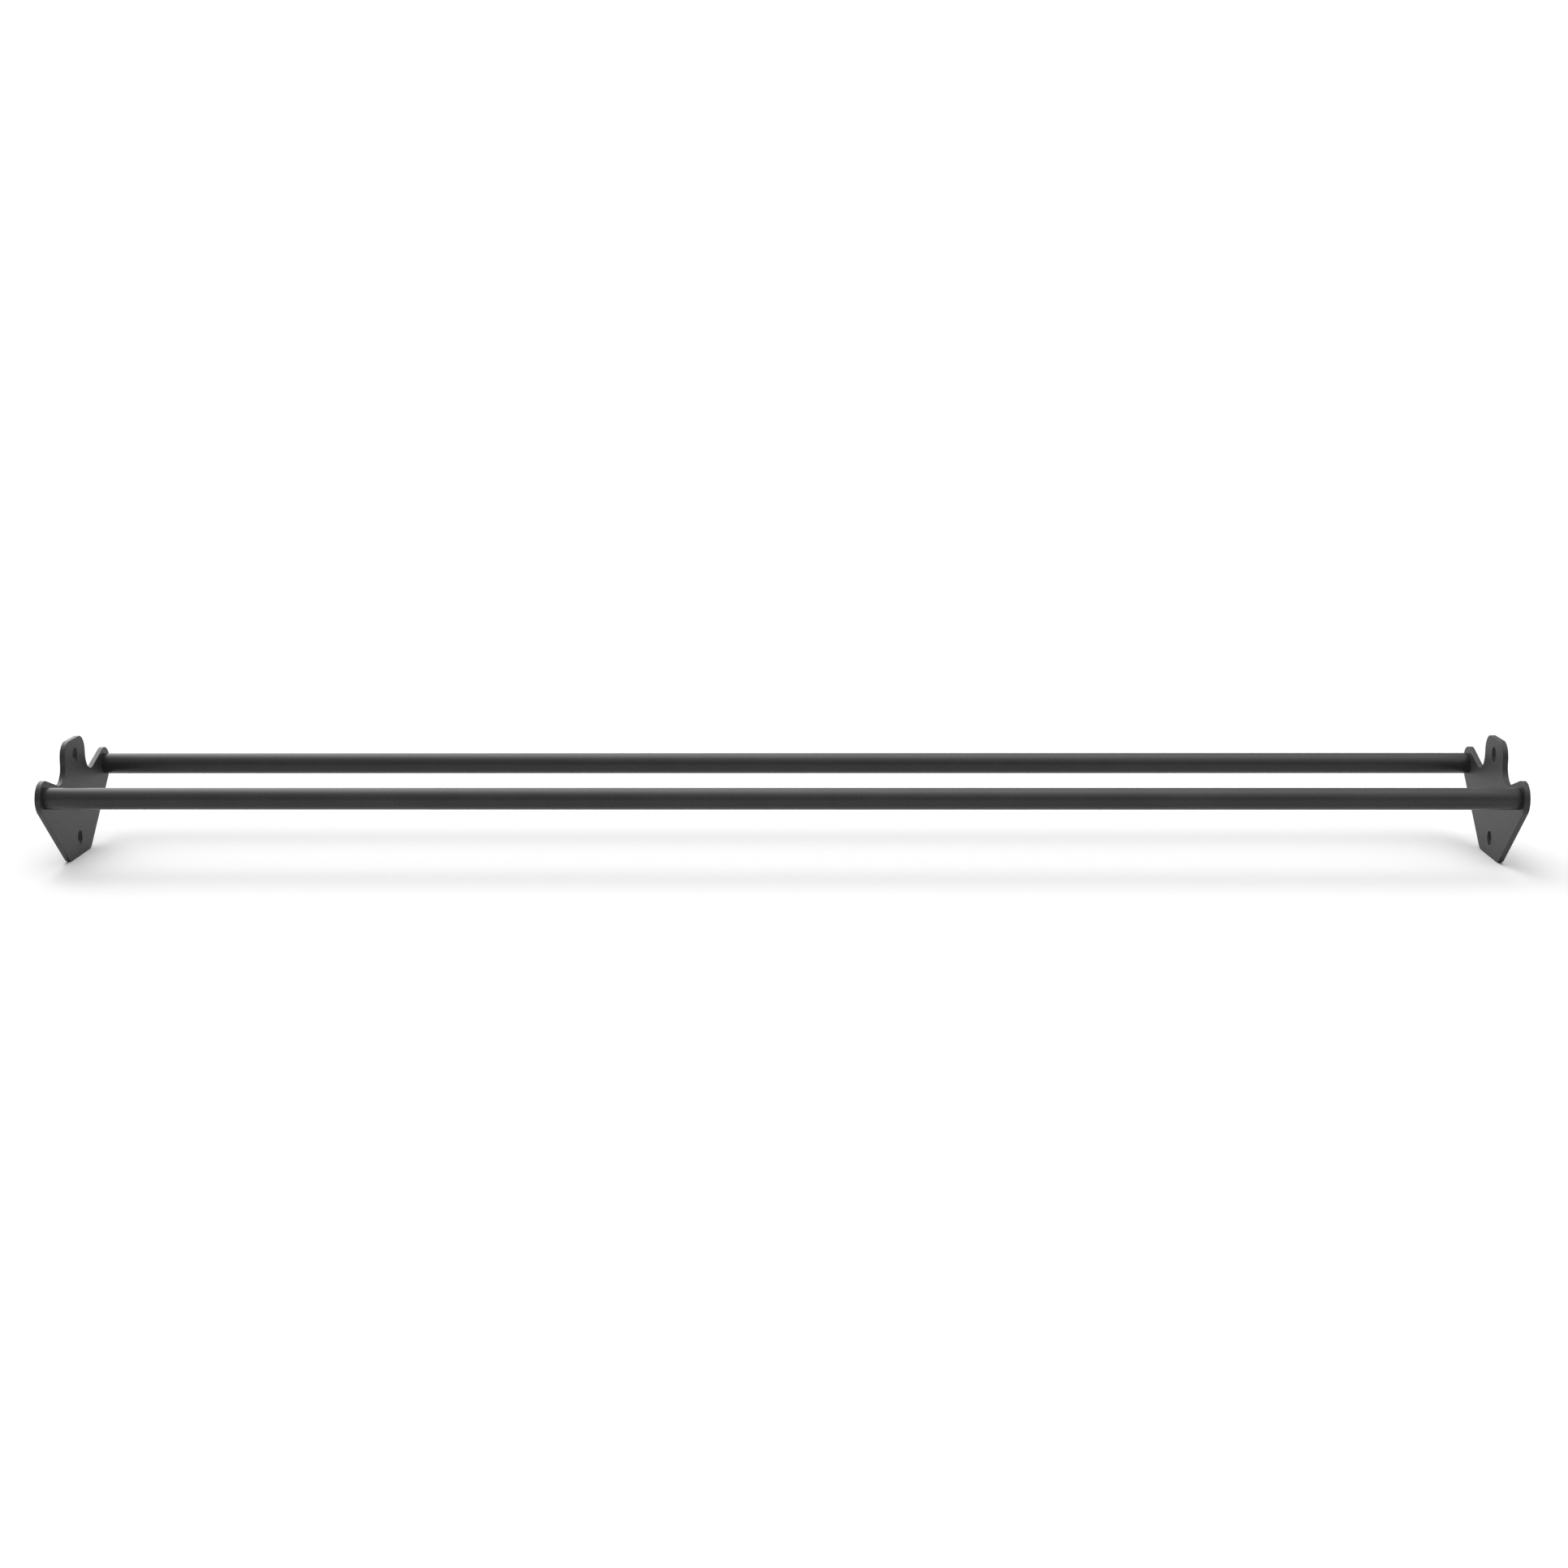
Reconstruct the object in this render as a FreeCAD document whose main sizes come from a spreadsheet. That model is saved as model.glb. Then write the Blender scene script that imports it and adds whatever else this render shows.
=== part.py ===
import FreeCAD, Part
import math
import os

import Sketcher

# Double pull-up bar for one bay of a training rig: two parallel steel tubes
# carried between two identical laser-cut bracket plates, all welded together.
#
# Frame: X along the tubes, Y from front to rear, +Z up. The origin is in the
# middle of the span, on the surface the plates' lower edges stand on.

SHEET = "Dimensions"

# Driving dimensions in millimetres, angles in degrees.
DRIVING = (
    ("inner_span", 1710.0),          # between the plates' inner faces
    ("plate_thickness", 6.35),       # quarter-inch plate
    ("bar_diameter", 25.4),          # one-inch tube
    ("tube_wall", 4.0),
    ("bar_spacing", 225.0),          # between the two tubes' axes
    ("bar_height", 93.0),            # tube axes above the lower edge
    ("plate_height", 144.5),
    ("tab_width", 76.2),             # upright tab, as wide as the rig's three-inch post
    ("tab_corner_radius", 20.0),
    ("valley_radius", 21.0),         # inside corner between tab and wing
    ("wing_edge_angle", 18.5),       # slope of a wing's upper edge
    ("wing_end_radius", 20.7),       # round end about the tube's axis
    ("foot_width", 66.0),            # straight part of the lower edge
    ("foot_corner_radius", 16.0),
    ("bolt_hole_diameter", 17.5),    # clears a 16 mm (5/8 in) bolt
    ("bolt_hole_spacing", 102.5),
    ("top_hole_inset", 20.0),        # upper hole's centre below the tab's top
    ("edge_break", 0.6),             # round the outline; the holes stay crisp
    ("weld_depth", 2.5),             # depth and width of the weld's bevel
    ("tube_setback", 1.0),           # tube's end below the plate's outer face
    ("weld_lap", 1.5),               # how far the weld covers the tube's end
)
VALUE = dict(DRIVING)


def new_document():
    doc = FreeCAD.newDocument("double_pull_up_bar")
    sheet = doc.addObject("Spreadsheet::Sheet", SHEET)
    for row, (name, value) in enumerate(DRIVING, start=1):
        sheet.set("A%d" % row, name)
        sheet.set("B%d" % row, repr(value))
        sheet.setAlias("B%d" % row, name)
    doc.recompute()
    return doc


def bind(obj, prop, formula):
    """Bind a property to a formula in the sheet's aliases."""
    for name in VALUE:
        formula = formula.replace("<%s>" % name, "%s.%s" % (SHEET, name))
    obj.setExpression(prop, formula)


def origin_feature(body, role):
    return next(item for item in body.Origin.OriginFeatures if item.Role == role)


def new_body(doc, name):
    body = doc.addObject("PartDesign::Body", name)
    body.Label = name
    return body


def new_sketch(body, name, role="YZ_Plane"):
    sketch = body.newObject("Sketcher::SketchObject", name)
    sketch.AttachmentSupport = [(origin_feature(body, role), "")]
    sketch.MapMode = "FlatFace"
    return sketch


def place(body, x, y, z, faces_left):
    """Put a body at x, y, z, turned half round about Z if it faces -X."""
    turn = FreeCAD.Rotation(FreeCAD.Vector(0, 0, 1), 180.0 if faces_left else 0.0)
    body.Placement = FreeCAD.Placement(FreeCAD.Vector(0, 0, 0), turn)
    bind(body, "Placement.Base.x", x)
    bind(body, "Placement.Base.y", y)
    bind(body, "Placement.Base.z", z)


def dimension(sketch, kind, formula, start_value, *where):
    """Add a dimensional constraint and bind it to a formula."""
    index = sketch.addConstraint(Sketcher.Constraint(kind, *where, start_value))
    bind(sketch, "Constraints[%d]" % index, formula)


# ---------------------------------------------------------------- bracket ---

START, END, CENTRE = 1, 2, 3
ROOT_POINT = (-1, 1)
H_AXIS = -1


def half_outline(sketch):
    """Right half of the plate: tab, valley, wing with a round end, foot."""
    top = VALUE["plate_height"]
    tab = VALUE["tab_width"] / 2
    foot = VALUE["foot_width"] / 2
    corner = VALUE["tab_corner_radius"]
    valley = VALUE["valley_radius"]
    end = VALUE["wing_end_radius"]
    heel = VALUE["foot_corner_radius"]
    slope = math.radians(VALUE["wing_edge_angle"])
    bar = FreeCAD.Vector(VALUE["bar_spacing"] / 2, VALUE["bar_height"], 0)

    # The valley's centre stands off the wing's upper edge by its own radius.
    valley_x = tab + valley
    valley_rise = (end + valley) / math.cos(slope)
    valley_y = bar.y + valley_rise + (valley_x - bar.x) * math.tan(slope)
    valley_centre = FreeCAD.Vector(valley_x, valley_y, 0)

    # The lower edge is the common tangent of the heel arc and the round end.
    heel_centre = FreeCAD.Vector(foot, heel, 0)
    reach = bar - heel_centre
    lower = math.atan2(reach.y, reach.x) - math.asin((end - heel) / reach.Length)

    def at(centre, radius, angle):
        return centre + FreeCAD.Vector(radius * math.cos(angle), radius * math.sin(angle), 0)

    def line(start, finish):
        return sketch.addGeometry(Part.LineSegment(start, finish), False)

    def arc(centre, radius, first, last):
        circle = Part.Circle(centre, FreeCAD.Vector(0, 0, 1), radius)
        return sketch.addGeometry(Part.ArcOfCircle(circle, first, last), False)

    quarter = math.pi / 2
    corner_centre = FreeCAD.Vector(tab - corner, top - corner, 0)
    middle = line(FreeCAD.Vector(0, 0, 0), FreeCAD.Vector(0, top, 0))
    crown = line(FreeCAD.Vector(0, top, 0), at(corner_centre, corner, quarter))
    tab_corner = arc(corner_centre, corner, 0, quarter)
    tab_side = line(at(corner_centre, corner, 0), at(valley_centre, valley, 2 * quarter))
    valley_arc = arc(valley_centre, valley, 2 * quarter, 3 * quarter + slope)
    wing_edge = line(at(valley_centre, valley, 3 * quarter + slope), at(bar, end, quarter + slope))
    wing_end = arc(bar, end, lower - quarter, quarter + slope)
    lower_edge = line(at(bar, end, lower - quarter), at(heel_centre, heel, lower - quarter))
    heel_arc = arc(heel_centre, heel, -quarter, lower - quarter)
    foot_edge = line(at(heel_centre, heel, -quarter), FreeCAD.Vector(0, 0, 0))

    joined = [
        ("Coincident", middle, START, *ROOT_POINT),
        ("Coincident", middle, END, crown, START),
        ("Tangent", crown, END, tab_corner, END),
        ("Tangent", tab_corner, START, tab_side, START),
        ("Tangent", tab_side, END, valley_arc, START),
        ("Tangent", valley_arc, END, wing_edge, START),
        ("Tangent", wing_edge, END, wing_end, END),
        ("Tangent", wing_end, START, lower_edge, START),
        ("Tangent", lower_edge, END, heel_arc, END),
        ("Tangent", heel_arc, START, foot_edge, START),
        ("Coincident", foot_edge, END, *ROOT_POINT),
        ("Vertical", middle),
        ("Horizontal", crown),
        ("Vertical", tab_side),
        ("Horizontal", foot_edge),
    ]
    for item in joined:
        sketch.addConstraint(Sketcher.Constraint(*item))

    dimension(sketch, "DistanceY", "<plate_height>", top, middle, START, middle, END)
    dimension(sketch, "DistanceX", "<tab_width> / 2", tab, *ROOT_POINT, tab_side, START)
    dimension(sketch, "DistanceX", "<foot_width> / 2", foot, *ROOT_POINT, foot_edge, START)
    dimension(sketch, "DistanceX", "<bar_spacing> / 2", bar.x, *ROOT_POINT, wing_end, CENTRE)
    dimension(sketch, "DistanceY", "<bar_height>", bar.y, *ROOT_POINT, wing_end, CENTRE)
    dimension(sketch, "Radius", "<tab_corner_radius>", corner, tab_corner)
    dimension(sketch, "Radius", "<valley_radius>", valley, valley_arc)
    dimension(sketch, "Radius", "<wing_end_radius>", end, wing_end)
    dimension(sketch, "Radius", "<foot_corner_radius>", heel, heel_arc)
    dimension(sketch, "Angle", "<wing_edge_angle> * 1 deg", slope, H_AXIS, wing_edge)


def circle(sketch, radius_formula, across_formula, up_formula, start):
    """A circle whose radius and centre are bound; start is (radius, x, y)."""
    radius, across, up = start
    centre = FreeCAD.Vector(across, up, 0)
    ring = sketch.addGeometry(Part.Circle(centre, FreeCAD.Vector(0, 0, 1), radius), False)
    dimension(sketch, "Radius", radius_formula, radius, ring)
    dimension(sketch, "DistanceY", up_formula, up, *ROOT_POINT, ring, CENTRE)
    if across_formula is None:
        sketch.addConstraint(Sketcher.Constraint("PointOnObject", ring, CENTRE, -2))
    elif across > 0:
        dimension(sketch, "DistanceX", across_formula, across, *ROOT_POINT, ring, CENTRE)
    else:
        dimension(sketch, "DistanceX", across_formula, -across, ring, CENTRE, *ROOT_POINT)


def bolt_holes(sketch):
    radius = VALUE["bolt_hole_diameter"] / 2
    upper = VALUE["plate_height"] - VALUE["top_hole_inset"]
    lower = upper - VALUE["bolt_hole_spacing"]
    upper_formula = "<plate_height> - <top_hole_inset>"
    lower_formula = upper_formula + " - <bolt_hole_spacing>"
    circle(sketch, "<bolt_hole_diameter> / 2", None, upper_formula, (radius, 0, upper))
    circle(sketch, "<bolt_hole_diameter> / 2", None, lower_formula, (radius, 0, lower))


def bar_holes(sketch):
    radius = VALUE["bar_diameter"] / 2
    up = VALUE["bar_height"]
    for side in (-1, 1):
        across = side * VALUE["bar_spacing"] / 2
        circle(sketch, "<bar_diameter> / 2", "<bar_spacing> / 2", "<bar_height>",
               (radius, across, up))


def cut_through(body, sketch, name):
    """Pocket right through the plate, which stands on the +X side of the sketch."""
    before = body.Tip.Shape.Volume
    pocket = body.newObject("PartDesign::Pocket", name)
    pocket.Profile = sketch
    pocket.Type = "ThroughAll"
    pocket.Reversed = True
    body.Document.recompute()
    if pocket.Shape.Volume >= before - 1.0:
        raise RuntimeError("%s cuts nothing" % name)
    return pocket


def edges_where(feature, wanted):
    return ["Edge%d" % (i + 1) for i, edge in enumerate(feature.Shape.Edges) if wanted(edge)]


def is_bar_hole(edge):
    curve = edge.Curve
    return isinstance(curve, Part.Circle) and edge.isClosed() \
        and abs(curve.Center.z - VALUE["bar_height"]) < 0.01


def at_depth(edge, depth):
    """True when the whole edge lies in the plane at this depth into the plate."""
    box = edge.BoundBox
    return abs(box.XMin - depth) < 0.01 and abs(box.XMax - depth) < 0.01


def bracket(doc, name, faces_left):
    """One plate. Its inner face is at local x = 0 and its outer face beyond."""
    body = new_body(doc, name)
    thickness = VALUE["plate_thickness"]

    outline = new_sketch(body, name + "_outline")
    half_outline(outline)
    half = body.newObject("PartDesign::Pad", name + "_half")
    half.Profile = outline
    bind(half, "Length", "<plate_thickness>")
    doc.recompute()

    whole = body.newObject("PartDesign::Mirrored", name + "_whole")
    whole.Originals = [half]
    whole.MirrorPlane = (origin_feature(body, "XZ_Plane"), [""])
    whole.Refine = True
    body.Tip = whole
    doc.recompute()

    bolts = new_sketch(body, name + "_bolt_circles")
    bolt_holes(bolts)
    cut_through(body, bolts, name + "_bolt_holes")
    bars = new_sketch(body, name + "_bar_circles")
    bar_holes(bars)
    bored = cut_through(body, bars, name + "_bar_holes")

    bevel = body.newObject("PartDesign::Chamfer", name + "_weld_bevel")
    bevel.Base = (bored, edges_where(bored, lambda e: is_bar_hole(e) and at_depth(e, thickness)))
    bind(bevel, "Size", "<weld_depth>")
    doc.recompute()

    def is_outline_rim(edge):
        on_a_face = at_depth(edge, 0.0) or at_depth(edge, thickness)
        return on_a_face and not edge.isClosed()

    rim = body.newObject("PartDesign::Fillet", name + "_edge_break")
    rim.Base = (bevel, edges_where(bevel, is_outline_rim))
    bind(rim, "Radius", "<edge_break>")
    doc.recompute()

    side = "-" if faces_left else ""
    place(body, side + "<inner_span> / 2", "0", "0", faces_left)
    return body


# ------------------------------------------------------------------- bars ---

def bar(doc, name, side):
    """A tube that ends just below the outer face of each plate."""
    body = new_body(doc, name)
    outer = VALUE["bar_diameter"] / 2
    inner = outer - VALUE["tube_wall"]
    section = new_sketch(body, name + "_section")
    for radius, formula in ((outer, "<bar_diameter> / 2"),
                            (inner, "<bar_diameter> / 2 - <tube_wall>")):
        centre = FreeCAD.Vector(0, 0, 0)
        ring = section.addGeometry(Part.Circle(centre, FreeCAD.Vector(0, 0, 1), radius), False)
        section.addConstraint(Sketcher.Constraint("Coincident", ring, CENTRE, *ROOT_POINT))
        dimension(section, "Radius", formula, radius, ring)
    tube = body.newObject("PartDesign::Pad", name + "_tube")
    tube.Profile = section
    tube.SideType = "Symmetric"
    bind(tube, "Length", "<inner_span> + 2 * (<plate_thickness> - <tube_setback>)")
    doc.recompute()
    place(body, "0", "%d * <bar_spacing> / 2" % side, "<bar_height>", False)
    return body


# ------------------------------------------------------------------ welds ---

def weld(doc, name, side, faces_left):
    """Ring that fills the bevel and laps the tube's end, ground flush outside.

    Local x = 0 is the plate's outer face, and the ring reaches inward.
    """
    body = new_body(doc, name)
    radius = VALUE["bar_diameter"] / 2
    depth = VALUE["weld_depth"]
    setback = VALUE["tube_setback"]
    lap = VALUE["weld_lap"]
    corners = (
        (-depth, radius),
        (0.0, radius + depth),
        (0.0, radius - lap),
        (-setback, radius - lap),
        (-setback, radius),
    )
    along = ("<weld_depth>", None, None, "<tube_setback>", "<tube_setback>")
    out = (
        "<bar_diameter> / 2",
        "<bar_diameter> / 2 + <weld_depth>",
        "<bar_diameter> / 2 - <weld_lap>",
        "<bar_diameter> / 2 - <weld_lap>",
        "<bar_diameter> / 2",
    )
    profile = new_sketch(body, name + "_profile", "XY_Plane")
    points = [FreeCAD.Vector(x, y, 0) for x, y in corners]
    lines = []
    for start, finish in zip(points, points[1:] + points[:1]):
        lines.append(profile.addGeometry(Part.LineSegment(start, finish), False))
    for here, after in zip(lines, lines[1:] + lines[:1]):
        profile.addConstraint(Sketcher.Constraint("Coincident", here, END, after, START))
    for edge, point, x_formula, y_formula in zip(lines, points, along, out):
        dimension(profile, "DistanceY", y_formula, point.y, *ROOT_POINT, edge, START)
        if x_formula is None:
            profile.addConstraint(Sketcher.Constraint("PointOnObject", edge, START, -2))
        else:
            dimension(profile, "DistanceX", x_formula, -point.x, edge, START, *ROOT_POINT)
    ring = body.newObject("PartDesign::Revolution", name + "_ring")
    ring.Profile = profile
    ring.ReferenceAxis = (profile, ["H_Axis"])
    ring.Angle = 360.0
    doc.recompute()
    sign = "-1" if faces_left else "1"
    place(body, sign + " * (<inner_span> / 2 + <plate_thickness>)",
          "%d * <bar_spacing> / 2" % side, "<bar_height>", faces_left)
    return body


# --------------------------------------------------------------- assembly ---

def check(doc, parts):
    """Stop on any failed object, open sketch or bad solid."""
    for obj in doc.Objects:
        if "Invalid" in obj.State or "Error" in obj.State:
            raise RuntimeError("%s failed: %s" % (obj.Name, obj.State))
        if obj.TypeId == "Sketcher::SketchObject" and not obj.FullyConstrained:
            raise RuntimeError("%s is not fully constrained" % obj.Name)
    for part in parts:
        shape = part.Shape
        if shape.isNull() or not shape.isValid() or len(shape.Solids) != 1:
            raise RuntimeError("%s is not one valid solid" % part.Label)
        print("%-18s %10.1f mm3" % (part.Label, shape.Volume))


def main():
    doc = new_document()
    parts = []
    for end, faces_left in (("left", True), ("right", False)):
        parts.append(bracket(doc, end + "_bracket", faces_left))
    for place_name, side in (("front", -1), ("rear", 1)):
        parts.append(bar(doc, place_name + "_bar", side))
        for end, faces_left in (("left", True), ("right", False)):
            parts.append(weld(doc, "%s_%s_weld" % (end, place_name), side, faces_left))
    doc.recompute()
    check(doc, parts)
    os.makedirs("parts", exist_ok=True)
    for part in parts:
        part.Shape.exportStep("parts/%s.step" % part.Label)


main()
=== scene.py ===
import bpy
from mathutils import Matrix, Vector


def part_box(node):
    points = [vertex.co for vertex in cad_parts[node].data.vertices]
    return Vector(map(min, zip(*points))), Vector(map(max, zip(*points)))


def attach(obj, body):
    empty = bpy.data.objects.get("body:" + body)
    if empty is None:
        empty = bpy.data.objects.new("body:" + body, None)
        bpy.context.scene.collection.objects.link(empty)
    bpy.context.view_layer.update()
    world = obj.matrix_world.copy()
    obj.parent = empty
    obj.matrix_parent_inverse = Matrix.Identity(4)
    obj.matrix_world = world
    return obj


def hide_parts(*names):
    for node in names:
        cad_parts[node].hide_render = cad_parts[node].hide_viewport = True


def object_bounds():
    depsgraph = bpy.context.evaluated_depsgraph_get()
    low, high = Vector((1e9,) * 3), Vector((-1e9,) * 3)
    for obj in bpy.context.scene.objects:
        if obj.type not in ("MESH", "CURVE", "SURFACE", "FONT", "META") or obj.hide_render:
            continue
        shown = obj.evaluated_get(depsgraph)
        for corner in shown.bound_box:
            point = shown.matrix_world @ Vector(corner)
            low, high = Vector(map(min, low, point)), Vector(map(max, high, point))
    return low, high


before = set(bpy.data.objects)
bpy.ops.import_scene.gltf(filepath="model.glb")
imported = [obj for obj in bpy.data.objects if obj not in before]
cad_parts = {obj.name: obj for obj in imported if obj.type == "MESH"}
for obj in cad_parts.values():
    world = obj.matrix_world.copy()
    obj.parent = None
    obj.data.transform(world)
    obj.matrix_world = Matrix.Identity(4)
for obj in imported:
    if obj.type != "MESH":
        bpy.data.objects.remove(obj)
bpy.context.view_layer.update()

import math

import bmesh
import bpy
from mathutils import Matrix, Vector, noise

# Looks of a double pull-up bar: charcoal powder coat over two steel tubes,
# two laser-cut plates and four dressed welds. Everything is in metres.

MM = 0.001
BODY = "root"
ENDS = (("left", -1), ("right", 1))
ROWS = ("front", "rear")

# The parts of the tubes and welds that a node's box doesn't give.
TUBE_WALL = 4.0 * MM
TUBE_DEBURR = 0.4 * MM
TUBE_SETBACK = 1.0 * MM          # from a plate's outer side to the tube's end
TUBE_STEPS = 96                  # round the tube
LENGTH_STEPS = 36                # along the tube
CORNER_STEPS = 3                 # round a deburred edge
WELD_DEPTH = 2.5 * MM
WELD_LAP = 1.5 * MM              # over the tube's end
WELD_STEPS = 288                 # round the weld
CROWN_STEPS = 10                 # across the weld
CROWN = 0.35 * MM
TOE_WANDER = 0.35 * MM           # of the weld's outer edge
ROOT_WANDER = 0.2 * MM           # of its inner edge
RIPPLE = 0.1 * MM
RIPPLES = 46.0                   # round the weld


# ----------------------------------------------------------------- meshes ---

def bar_axis(row):
    """Centre line (y, z), outer radius and end positions of a bar."""
    low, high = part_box(row + "_bar")
    radius = (high.y - low.y) / 2
    return (high.y + low.y) / 2, (high.z + low.z) / 2, radius, low.x, high.x


def surface_of_revolution(name, rings, y, z, steps):
    """Skin rings into a closed tube about the X axis through y, z.

    rings is a function of the turn's angle that gives a closed profile of
    (x, radius) points, always the same number of them.
    """
    mesh = bmesh.new()
    turns = []
    for step in range(steps):
        angle = math.tau * step / steps
        profile = rings(angle)
        turns.append([mesh.verts.new((x, y + r * math.cos(angle), z + r * math.sin(angle)))
                      for x, r in profile])
    count = len(turns[0])
    for here, after in zip(turns, turns[1:] + turns[:1]):
        for i in range(count):
            j = (i + 1) % count
            mesh.faces.new((here[i], here[j], after[j], after[i]))
    bmesh.ops.recalc_face_normals(mesh, faces=mesh.faces)
    for face in mesh.faces:
        face.smooth = True
    data = bpy.data.meshes.new(name)
    mesh.to_mesh(data)
    mesh.free()
    piece = bpy.data.objects.new(name, data)
    bpy.context.scene.collection.objects.link(piece)
    return piece


def tube(row):
    """A drawn tube with its cut ends deburred."""
    y, z, radius, low, high = bar_axis(row)
    bore = radius - TUBE_WALL

    def corner(x, r, across, out):
        """Quarter round from a side to an end; across and out point into the metal."""
        points = []
        for k in range(CORNER_STEPS + 1):
            a = math.pi / 2 * k / CORNER_STEPS
            points.append((x + across * TUBE_DEBURR * (1 - math.sin(a)),
                           r + out * TUBE_DEBURR * (1 - math.cos(a))))
        return points

    def along(start, finish, r):
        length = finish - start
        return [(start + length * k / LENGTH_STEPS, r) for k in range(1, LENGTH_STEPS)]

    straight_low, straight_high = low + TUBE_DEBURR, high - TUBE_DEBURR
    profile = corner(low, radius, 1, -1)[::-1]
    profile += along(straight_low, straight_high, radius)
    profile += corner(high, radius, -1, -1)
    profile += corner(high, bore, -1, 1)[::-1]
    profile += along(straight_high, straight_low, bore)
    profile += corner(low, bore, 1, 1)
    return surface_of_revolution(row + "_tube", lambda angle: profile, y, z, TUBE_STEPS)


def weld(end, side, row):
    """A dressed weld: a low crowned ring whose toe wanders a little."""
    y, z, radius, low, high = bar_axis(row)
    low_corner, high_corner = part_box("%s_%s_weld" % (end, row))
    face = high_corner.x if side > 0 else low_corner.x
    seed = Vector((7.0 * side, 13.0 * y, 5.0))
    toe_out = radius + WELD_DEPTH
    toe_in = radius - WELD_LAP

    def profile(angle):
        turn = Vector((math.cos(angle), math.sin(angle), 0.0))
        wander = noise.noise(turn * 4.0 + seed)
        ripple = 0.5 + 0.5 * math.sin(RIPPLES * angle + 3.0 * wander)
        outer = toe_out + TOE_WANDER * noise.noise(turn * 6.0 + seed * 2.0)
        inner = toe_in + ROOT_WANDER * noise.noise(turn * 5.0 - seed)
        points = []
        for k in range(CROWN_STEPS + 1):
            t = k / CROWN_STEPS
            height = math.sin(math.pi * t) ** 0.7
            lift = CROWN * height * (0.75 + 0.25 * wander) - RIPPLE * height * ripple
            points.append((face + side * lift, outer + (inner - outer) * t))
        points.append((face - side * TUBE_SETBACK, inner))
        points.append((face - side * TUBE_SETBACK, radius))
        points.append((face - side * WELD_DEPTH, radius))
        return points

    return surface_of_revolution("%s_%s_bead" % (end, row), profile, y, z, WELD_STEPS)


# -------------------------------------------------------------- materials ---

def node(tree, kind, **values):
    made = tree.nodes.new(kind)
    for name, value in values.items():
        if name in made.inputs:
            made.inputs[name].default_value = value
        else:
            setattr(made, name, value)
    return made


def stretched_noise(tree, coordinates, stretch, scale, detail, roughness=0.5):
    """Noise over the row frame, stretched along each axis."""
    mapping = node(tree, "ShaderNodeMapping", Scale=stretch)
    tree.links.new(coordinates, mapping.inputs["Vector"])
    made = node(tree, "ShaderNodeTexNoise", Scale=scale, Detail=detail, Roughness=roughness)
    tree.links.new(mapping.outputs["Vector"], made.inputs["Vector"])
    return made.outputs["Fac"]


def to_range(tree, value, low, high, start=0.0, finish=1.0):
    made = tree.nodes.new("ShaderNodeMapRange")
    made.inputs["From Min"].default_value = start
    made.inputs["From Max"].default_value = finish
    made.inputs["To Min"].default_value = low
    made.inputs["To Max"].default_value = high
    tree.links.new(value, made.inputs["Value"])
    return made.outputs["Result"]


def calculate(tree, operation, *values):
    made = tree.nodes.new("ShaderNodeMath")
    made.operation = operation
    for slot, value in zip(made.inputs, values):
        if isinstance(value, float):
            slot.default_value = value
        else:
            tree.links.new(value, slot)
    return made.outputs["Value"]


def bump(tree, height, strength, distance, below=None):
    made = node(tree, "ShaderNodeBump", Strength=strength, Distance=distance)
    tree.links.new(height, made.inputs["Height"])
    if below is not None:
        tree.links.new(below, made.inputs["Normal"])
    return made.outputs["Normal"]


COAT_DARK = (0.0165, 0.0165, 0.017, 1.0)
COAT_LIGHT = (0.0255, 0.0255, 0.026, 1.0)
FLOOR_DARK = (0.69, 0.69, 0.69, 1.0)
FLOOR_LIGHT = (0.70, 0.70, 0.70, 1.0)

# How fine each texture is, in cells per metre.
GRIT_SCALE = 1900.0
PEEL_SCALE = 420.0
MOTTLE_SCALE = 14.0
CLOUD_SCALE = 0.6

EVEN = (1.0, 1.0, 1.0)

# Roughness of the coat, from its smoothest to its roughest spots.
SATIN = (0.26, 0.38)
MATT = (0.44, 0.54)


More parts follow.
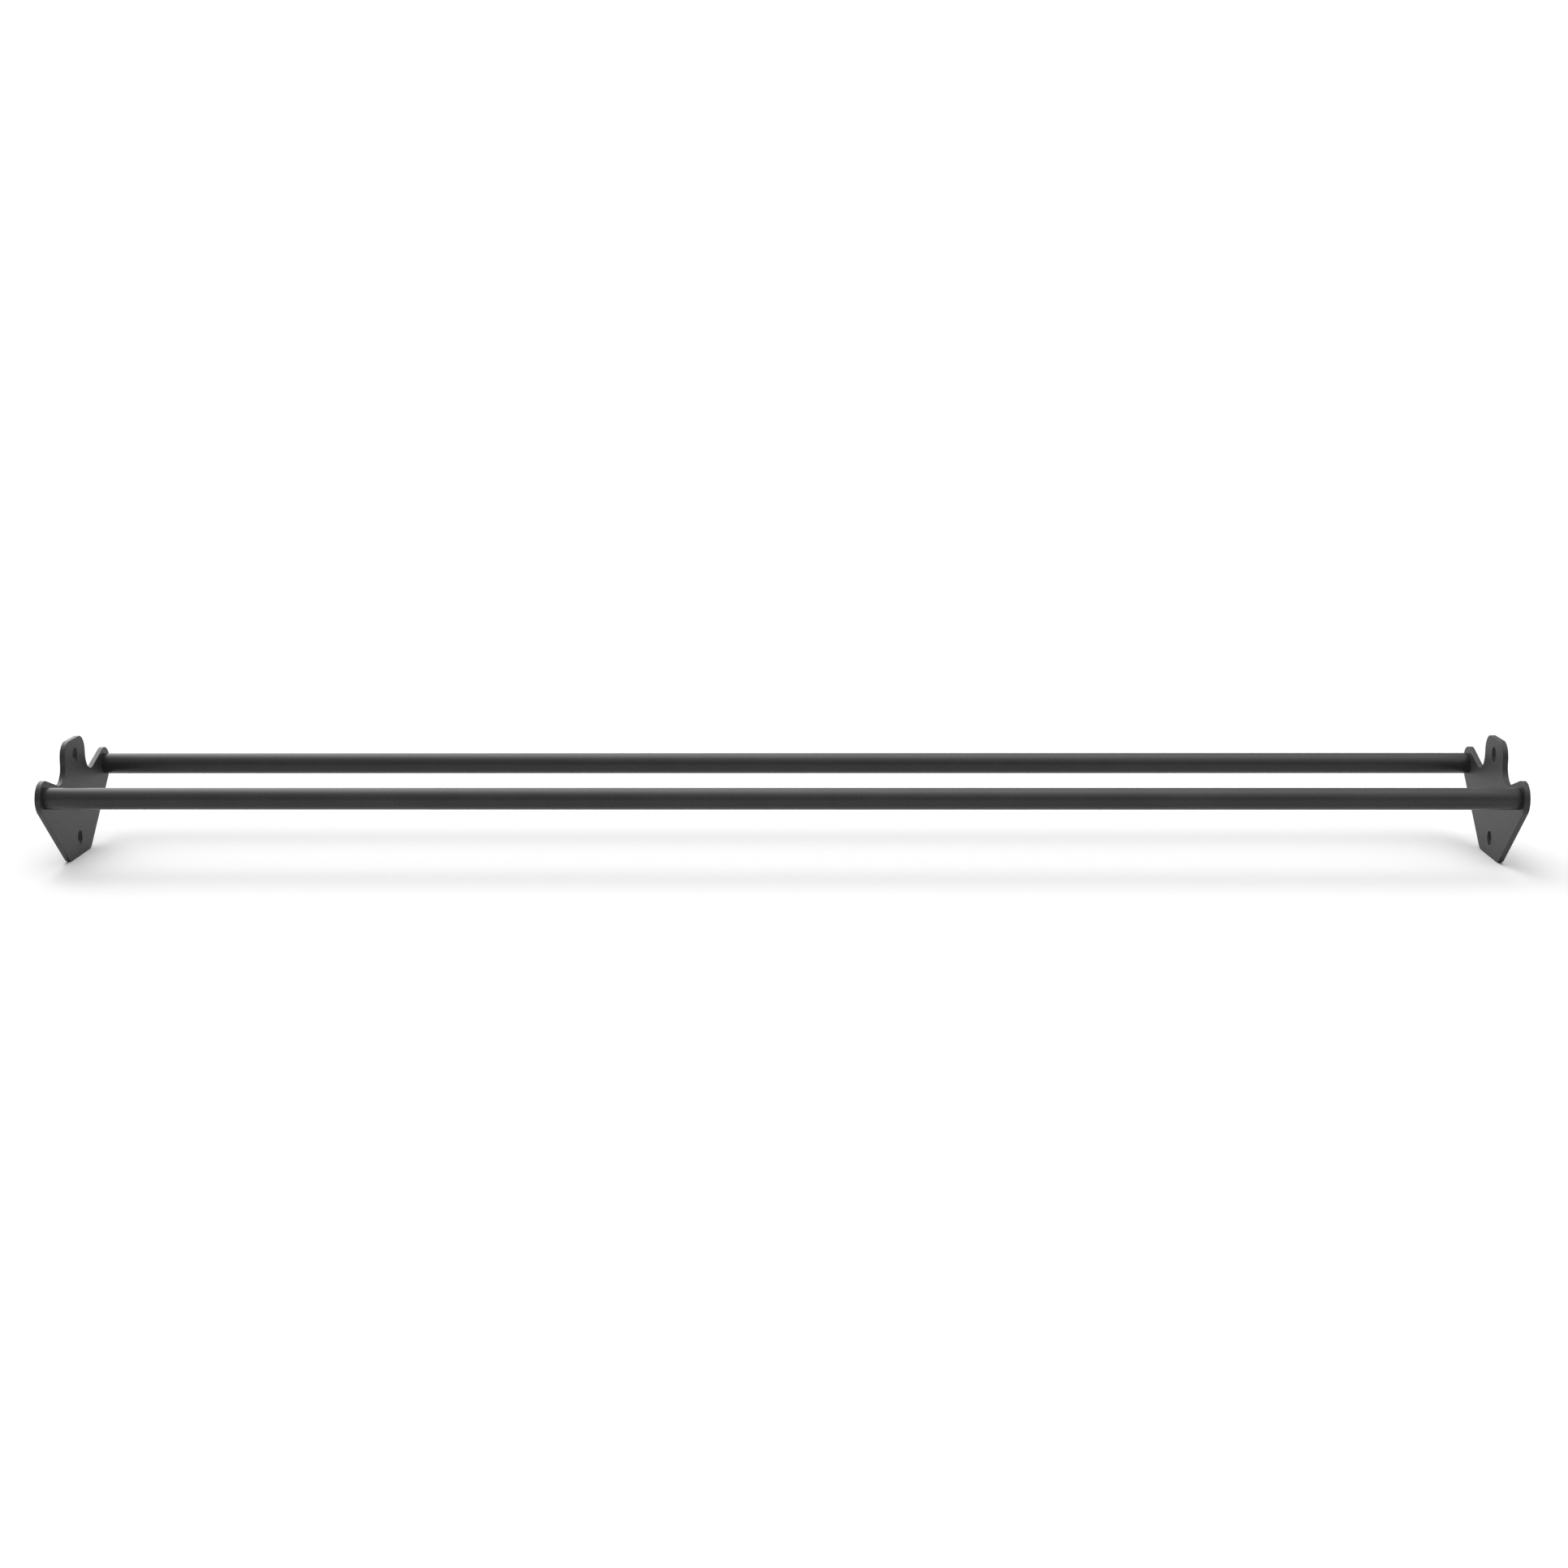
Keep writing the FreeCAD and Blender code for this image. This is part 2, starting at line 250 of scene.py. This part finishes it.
def powder_coat(name, gloss, flat_roughness, grain_stretch, grain_scale, grain_depth):
    """Matt charcoal powder coat over metal with its own grain.

    The coat has an orange peel a few millimetres across, a fine grit and a
    faint mottle; the metal's grain (drawing lines, cutting lines or weld
    ripples) shows through softly. The coat is satin, but surfaces that face along
    X, the flats of the plates, have a roughness of their own.
    """
    material = bpy.data.materials.new(name)
    material.use_nodes = True
    tree = material.node_tree
    shader = tree.nodes["Principled BSDF"]
    coordinates = tree.nodes.new("ShaderNodeTexCoord")
    place = coordinates.outputs["Object"]

    grit = stretched_noise(tree, place, EVEN, GRIT_SCALE, 2.0)
    peel = stretched_noise(tree, place, EVEN, PEEL_SCALE, 3.0, 0.55)
    mottle = stretched_noise(tree, place, EVEN, MOTTLE_SCALE, 5.0, 0.6)
    grain = stretched_noise(tree, place, grain_stretch, grain_scale, 3.0, 0.6)

    tone = node(tree, "ShaderNodeMix", data_type="FLOAT")
    tone.inputs["Factor"].default_value = 0.45
    tree.links.new(mottle, tone.inputs[2])
    tree.links.new(grit, tone.inputs[3])
    ramp = tree.nodes.new("ShaderNodeValToRGB")
    ramp.color_ramp.elements[0].position = 0.36
    ramp.color_ramp.elements[0].color = COAT_DARK
    ramp.color_ramp.elements[1].position = 0.66
    ramp.color_ramp.elements[1].color = COAT_LIGHT
    tree.links.new(tone.outputs[0], ramp.inputs["Fac"])
    tree.links.new(ramp.outputs["Color"], shader.inputs["Base Color"])

    facing = tree.nodes.new("ShaderNodeSeparateXYZ")
    tree.links.new(coordinates.outputs["Normal"], facing.inputs["Vector"])
    sideways = calculate(tree, "ABSOLUTE", facing.outputs["X"])
    blend = node(tree, "ShaderNodeMix", data_type="FLOAT")
    tree.links.new(to_range(tree, sideways, 0.0, 1.0, 0.8, 0.95), blend.inputs["Factor"])
    tree.links.new(to_range(tree, peel, *SATIN, 0.3, 0.7), blend.inputs[2])
    tree.links.new(to_range(tree, peel, *flat_roughness, 0.3, 0.7), blend.inputs[3])
    tree.links.new(blend.outputs[0], shader.inputs["Roughness"])
    shader.inputs["Specular IOR Level"].default_value = gloss

    normal = bump(tree, grain, 0.35, grain_depth)
    normal = bump(tree, peel, 0.25, 0.12 * MM, normal)
    normal = bump(tree, grit, 0.2, 0.03 * MM, normal)
    tree.links.new(normal, shader.inputs["Normal"])
    return material


def floor_material():
    material = bpy.data.materials.new("studio_floor")
    material.use_nodes = True
    tree = material.node_tree
    shader = tree.nodes["Principled BSDF"]
    place = tree.nodes.new("ShaderNodeTexCoord").outputs["Object"]
    cloud = stretched_noise(tree, place, EVEN, CLOUD_SCALE, 3.0)
    ramp = tree.nodes.new("ShaderNodeValToRGB")
    ramp.color_ramp.elements[0].color = FLOOR_DARK
    ramp.color_ramp.elements[1].color = FLOOR_LIGHT
    tree.links.new(cloud, ramp.inputs["Fac"])
    tree.links.new(ramp.outputs["Color"], shader.inputs["Base Color"])
    shader.inputs["Roughness"].default_value = 0.9
    shader.inputs["Specular IOR Level"].default_value = 0.0
    return material


# ------------------------------------------------------------------ stage ---

FLOOR_SIZE = 80.0

# The studio's light: an even glow and a big soft light overhead whose middle
# stands to the left and behind, both fading towards the horizon. The middle and
# the spread are across X and Y of the direction the light comes from. The big
# light stands askew: its middle moves to the left by the slant for each unit of Y.
GLOW = 0.55
HORIZON_FADE = 0.5
FADE_TOP = 0.6
OVERHEAD = 4.5
OVERHEAD_MIDDLE = (-0.03, 0.25)
OVERHEAD_SPREAD = (0.36, 0.76)
OVERHEAD_SLANT = 0.4
BACKDROP = 1.03

# Camera: where it stands from the middle of the two bars' axes, and how it
# looks along +Y.
CAMERA_OFFSET = Vector((0.0626, -2.7436, 0.5331))
CAMERA_PITCH = math.radians(11.085)
CAMERA_YAW = math.radians(-1.208)
CAMERA_ROLL = math.radians(-0.234)
LENS = 53.16
SENSOR = 36.0


def add_floor():
    mesh = bmesh.new()
    bmesh.ops.create_grid(mesh, x_segments=8, y_segments=8, size=FLOOR_SIZE / 2)
    data = bpy.data.meshes.new("floor")
    mesh.to_mesh(data)
    mesh.free()
    floor = bpy.data.objects.new("floor", data)
    bpy.context.scene.collection.objects.link(floor)
    floor.location.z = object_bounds()[0].z - 0.1 * MM
    data.materials.append(floor_material())


def add_sky():
    """The studio's light, in front of a plain white backdrop."""
    world = bpy.data.worlds.new("studio")
    world.use_nodes = True
    bpy.context.scene.world = world
    tree = world.node_tree
    background = tree.nodes["Background"]
    direction = tree.nodes.new("ShaderNodeTexCoord").outputs["Generated"]
    parts = tree.nodes.new("ShaderNodeSeparateXYZ")
    tree.links.new(direction, parts.inputs["Vector"])
    x, y, z = parts.outputs

    straight_x = calculate(tree, "ADD", x, calculate(tree, "MULTIPLY", y, OVERHEAD_SLANT))
    squares = []
    for value, middle, spread in zip((straight_x, y), OVERHEAD_MIDDLE, OVERHEAD_SPREAD):
        away = calculate(tree, "DIVIDE", calculate(tree, "SUBTRACT", value, middle), spread)
        squares.append(calculate(tree, "MULTIPLY", away, away))
    drop = calculate(tree, "MULTIPLY", calculate(tree, "ADD", *squares), -1.0)
    overhead = calculate(tree, "MULTIPLY", calculate(tree, "EXPONENT", drop), OVERHEAD)
    fade = to_range(tree, z, HORIZON_FADE, 1.0, 0.0, FADE_TOP)
    light = calculate(tree, "MULTIPLY", calculate(tree, "ADD", overhead, GLOW), fade)

    seen = tree.nodes.new("ShaderNodeLightPath")
    mix = node(tree, "ShaderNodeMix", data_type="FLOAT")
    tree.links.new(seen.outputs["Is Camera Ray"], mix.inputs["Factor"])
    tree.links.new(light, mix.inputs[2])
    mix.inputs[3].default_value = BACKDROP
    background.inputs["Color"].default_value = (1.0, 1.0, 1.0, 1.0)
    tree.links.new(mix.outputs[0], background.inputs["Strength"])


def add_camera():
    front = bar_axis("front")
    rear = bar_axis("rear")
    middle = Vector(((front[3] + front[4]) / 2, (front[0] + rear[0]) / 2, front[1]))
    data = bpy.data.cameras.new("camera")
    data.lens = LENS
    data.sensor_width = SENSOR
    camera = bpy.data.objects.new("camera", data)
    bpy.context.scene.collection.objects.link(camera)
    turn = Matrix.Rotation(-CAMERA_YAW, 4, "Z")
    tilt = Matrix.Rotation(math.pi / 2 - CAMERA_PITCH, 4, "X")
    roll = Matrix.Rotation(CAMERA_ROLL, 4, "Z")
    camera.matrix_world = Matrix.Translation(middle + CAMERA_OFFSET) @ turn @ tilt @ roll
    bpy.context.scene.camera = camera


# --------------------------------------------------------------- assembly ---

def main():
    bpy.context.scene.view_settings.view_transform = "Standard"
    add_camera()

    # Drawing lines run along the tubes; cutting lines run through the plates.
    tube_coat = powder_coat("tube_coat", 0.30, SATIN, (0.01, 1.0, 1.0), 1500.0, 0.02 * MM)
    plate_coat = powder_coat("plate_coat", 0.28, MATT, (0.08, 1.0, 1.0), 900.0, 0.05 * MM)
    weld_coat = powder_coat("weld_coat", 0.36, MATT, EVEN, 700.0, 0.08 * MM)

    for row in ROWS:
        piece = tube(row)
        piece.data.materials.append(tube_coat)
        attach(piece, BODY)
        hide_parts(row + "_bar")
    for end, side in ENDS:
        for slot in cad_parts[end + "_bracket"].material_slots:
            slot.material = plate_coat
        for row in ROWS:
            piece = weld(end, side, row)
            piece.data.materials.append(weld_coat)
            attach(piece, BODY)
            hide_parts("%s_%s_weld" % (end, row))

    add_floor()
    add_sky()


main()
